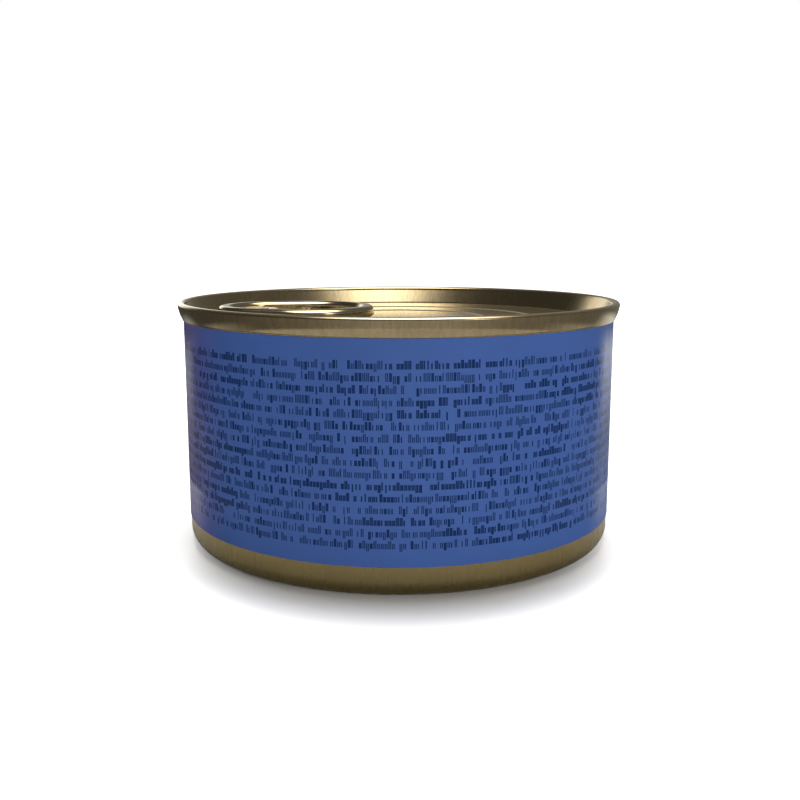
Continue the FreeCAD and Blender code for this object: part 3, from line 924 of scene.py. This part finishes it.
def screen_material(name):
    """The low screen round the can: pale in front, fading to dark flags at the sides, paler low down beside the
    can, and with pale stretches behind on the right and, weaker, on the left, which end under its top."""
    nodes = Nodes(name)
    bearing, _, height = bearings(nodes)
    turn = nodes.math("ABSOLUTE", bearing)
    front = nodes.times(front_card(nodes, bearing), 0.52)
    side = nodes.ranged(bearing, -90.0, 90.0, 0.03, 0.14)
    low = nodes.times(
        nodes.ranged(height, 12 * MM, 18 * MM, 0.4, 0.0), nodes.ranged(turn, 60.0, 88.0, 0.0, 1.0),
        nodes.ranged(turn, 92.0, 102.0, 1.0, 0.0))
    right = nodes.times(
        nodes.ranged(bearing, 93.0, 104.0, 0.0, 1.0), nodes.ranged(height, 10 * MM, 26 * MM, 0.13, 0.8),
        nodes.ranged(height, 25.5 * MM, 29.5 * MM, 1.0, 0.0))
    left = nodes.times(
        nodes.ranged(bearing, -100.0, -110.0, 0.0, 1.0), nodes.ranged(height, 8 * MM, 20 * MM, 0.14, 0.38),
        nodes.ranged(height, 23.5 * MM, 28.5 * MM, 1.0, 0.0))
    return glow_material(nodes, nodes.plus(front, side, low, right, left))


def dome_material(name):
    """The dark studio above the screen: a large round soft box that leans over the can from in front, a narrow
    box low on the right in front, a low bright panel behind left that fades off to the right, the top of the
    pale card in front, and a little light that grows from left to right. Places are in degrees: the round box's
    are measured from straight overhead, to the right and to the front."""
    nodes = Nodes(name)
    bearing, elevation, _ = bearings(nodes)
    box_right, box_front, box_radius, box_edge, box_level = 5.2, 15.0, 29.6, 13.5, 7.0
    turn = nodes.times(bearing, math.pi / 180.0)
    from_top = nodes.minus(90.0, elevation)
    right = nodes.minus(nodes.times(from_top, nodes.math("SINE", turn)), box_right)
    front = nodes.minus(nodes.times(from_top, nodes.math("COSINE", turn)), box_front)
    box = nodes.times(soft_peak(nodes, nodes.distance(right, front), 0.0, box_radius, box_edge), box_level)
    full_turn = nodes.math("MODULO", nodes.plus(bearing, 360.0), 360.0)
    panel = nodes.times(
        nodes.plus(
            nodes.times(soft_peak(nodes, full_turn, 204.5, 13.5, 4.5), 1.65),
            nodes.times(soft_peak(nodes, full_turn, 188.0, 14.0, 6.0), 0.1)),
        nodes.ranged(elevation, 16.0, 25.0, 1.0, 0.0))
    card = nodes.times(front_card(nodes, bearing), nodes.ranged(elevation, 4.0, 14.0, 0.52, 0.0))
    narrow = nodes.times(
        soft_peak(nodes, bearing, 40.0, 7.0, 4.0), 4.0, soft_peak(nodes, elevation, 15.0, 9.0, 8.0))
    side = nodes.ranged(bearing, -90.0, 90.0, 0.08, 0.19)
    return glow_material(nodes, nodes.plus(box, panel, card, side, narrow))


def lamp(name, azimuth, elevation, width, height, radiance):
    """A soft rectangular lamp at an angle from the front, +X side positive, aimed at the can. Its power is
    its radiance times its area times pi. Reflections show the screen and the dome in its place."""
    aim, distance = np.array([0.0, 0.0, 0.02]), 0.5
    a, e = math.radians(azimuth), math.radians(elevation)
    back = np.array([math.sin(a) * math.cos(e), -math.cos(a) * math.cos(e), math.sin(e)])
    data = bpy.data.lights.new(name, "AREA")
    data.shape = "RECTANGLE"
    data.size = width
    data.size_y = height
    data.energy = radiance * width * height * math.pi
    made = bpy.data.objects.new(name, data)
    made.location = aim + back * distance
    made.rotation_euler = Vector(back).to_track_quat("Z", "Y").to_euler()
    made.visible_glossy = False
    bpy.context.scene.collection.objects.link(made)


def world_light(soft):
    """Plain white to the camera and in reflections, and soft even light on surfaces."""
    world = bpy.data.worlds.new("studio")
    world.use_nodes = True
    tree = world.node_tree
    tree.nodes.clear()
    output = tree.nodes.new("ShaderNodeOutputWorld")
    background = tree.nodes.new("ShaderNodeBackground")
    background.inputs["Color"].default_value = WHITE
    path = tree.nodes.new("ShaderNodeLightPath")
    level = tree.nodes.new("ShaderNodeMapRange")
    level.inputs["To Min"].default_value = 1.0
    level.inputs["To Max"].default_value = soft
    tree.links.new(path.outputs["Is Diffuse Ray"], level.inputs["Value"])
    tree.links.new(level.outputs["Result"], background.inputs["Strength"])
    tree.links.new(background.outputs[0], output.inputs["Surface"])
    bpy.context.scene.world = world


def camera(place, down, lens):
    """The camera in front of the can, a little above its lip and looking slightly down."""
    data = bpy.data.cameras.new("camera")
    data.sensor_width = 36.0
    data.lens = lens
    data.clip_start = 0.005
    data.clip_end = 10.0
    made = bpy.data.objects.new("camera", data)
    made.location = place
    made.rotation_euler = (math.radians(90.0 - down), 0.0, 0.0)
    bpy.context.scene.collection.objects.link(made)
    bpy.context.scene.camera = made


# ---------------------------------------------------------------- operators

class CAN_OT_cup(bpy.types.Operator):
    """Build the drawn metal cup"""
    bl_idname = "can.cup"
    bl_label = "Cup"

    def execute(self, context):
        scene = context.scene
        material = drawn_gold("cup_gold", tuple(scene.can_colours.cup_gold))
        piece("can_cup", turned(cup_profile(scene.can_cup), WALL_SEGMENTS), material, "body")
        return {"FINISHED"}


class CAN_OT_wrap(bpy.types.Operator):
    """Build the printed wrap"""
    bl_idname = "can.wrap"
    bl_label = "Wrap"

    def execute(self, context):
        scene = context.scene
        material = printed_wrap("wrap_print", scene.can_colours, scene.can_label)
        shape = wrap_shape(scene.can_cup, scene.can_label, WALL_SEGMENTS)
        made = piece("can_wrap", shape, material, "label")
        unwrap(made, scene.can_cup.wall_radius)
        return {"FINISHED"}


class CAN_OT_end(bpy.types.Operator):
    """Build the easy-open end with its seam and rivet"""
    bl_idname = "can.end"
    bl_label = "End"

    def execute(self, context):
        scene = context.scene
        places = tab_places(scene.can_cup, scene.can_lid, scene.can_tab)
        sheet = turned(end_profile(scene.can_cup, scene.can_lid), END_SEGMENTS)
        button = turned(rivet_profile(scene.can_lid, scene.can_tab), RIVET_SEGMENTS, (places["rivet"], 0.0))
        shape = combined(sheet, turned_to_place(button, scene.can_tab))
        piece("can_end", shape, stamped_gold("end_gold", tuple(scene.can_colours.end_gold)), "lid")
        return {"FINISHED"}


class CAN_OT_tab(bpy.types.Operator):
    """Build the pull tab"""
    bl_idname = "can.tab"
    bl_label = "Pull tab"

    def execute(self, context):
        scene = context.scene
        tab = scene.can_tab
        places = tab_places(scene.can_cup, scene.can_lid, tab)
        shape = combined(
            rim_shape(tab, places), bar_shape(tab, places), tongue_shape(tab, places, scene.can_lid))
        material = rolled_gold("tab_gold", tuple(scene.can_colours.tab_metal))
        piece("can_pull_tab", turned_to_place(shape, tab), material, "pull_tab")
        return {"FINISHED"}


class CAN_OT_stage(bpy.types.Operator):
    """Set the floor, the screen and the dome for reflections, the lamps, the world and the camera"""
    bl_idname = "can.stage"
    bl_label = "Stage"

    def execute(self, context):
        context.scene.view_settings.view_transform = "Standard"
        stage_mesh("floor", floor_disc(), pale_floor("pale_floor"))
        stage_mesh("low_screen", screen_ring(), screen_material("low_screen"), for_reflections_only=True)
        stage_mesh("dark_dome", dome_shell(), dome_material("dark_dome"), for_reflections_only=True)
        world_light(soft=0.14)
        lamp("top_lamp", 180.0, 82.0, width=0.22, height=0.22, radiance=19.0)
        lamp("front_lamp", 22.0, 14.0, width=0.3, height=0.2, radiance=6.0)
        lamp("back_lamp", 180.0, 16.0, width=0.3, height=0.2, radiance=2.4)
        camera(place=(0.19 * MM, -149.12 * MM, 46.39 * MM), down=9.913, lens=43.19)
        return {"FINISHED"}


class CAN_PT_panel(bpy.types.Panel):
    """Lists the steps that build the can"""
    bl_idname = "CAN_PT_panel"
    bl_label = "Food Can"
    bl_space_type = "VIEW_3D"
    bl_region_type = "UI"
    bl_category = "Food Can"

    def draw(self, context):
        for operator in OPERATORS:
            self.layout.operator(operator.bl_idname)


GROUPS = (
    ("can_cup", CupSizes), ("can_label", LabelSizes), ("can_lid", LidSizes), ("can_tab", TabSizes),
    ("can_colours", CanColours))
OPERATORS = (CAN_OT_cup, CAN_OT_wrap, CAN_OT_end, CAN_OT_tab, CAN_OT_stage)


def register():
    """Registers the property groups, the operators and the panel."""
    for name, group in GROUPS:
        bpy.utils.register_class(group)
        setattr(bpy.types.Scene, name, bpy.props.PointerProperty(type=group))
    for operator in OPERATORS:
        bpy.utils.register_class(operator)
    bpy.utils.register_class(CAN_PT_panel)


def unregister():
    """Takes away what register added."""
    bpy.utils.unregister_class(CAN_PT_panel)
    for operator in reversed(OPERATORS):
        bpy.utils.unregister_class(operator)
    for name, group in reversed(GROUPS):
        delattr(bpy.types.Scene, name)
        bpy.utils.unregister_class(group)


def main():
    """Builds the whole can and its stage."""
    register()
    for step in (bpy.ops.can.cup, bpy.ops.can.wrap, bpy.ops.can.end, bpy.ops.can.tab, bpy.ops.can.stage):
        step()


if __name__ == "__main__":
    main()
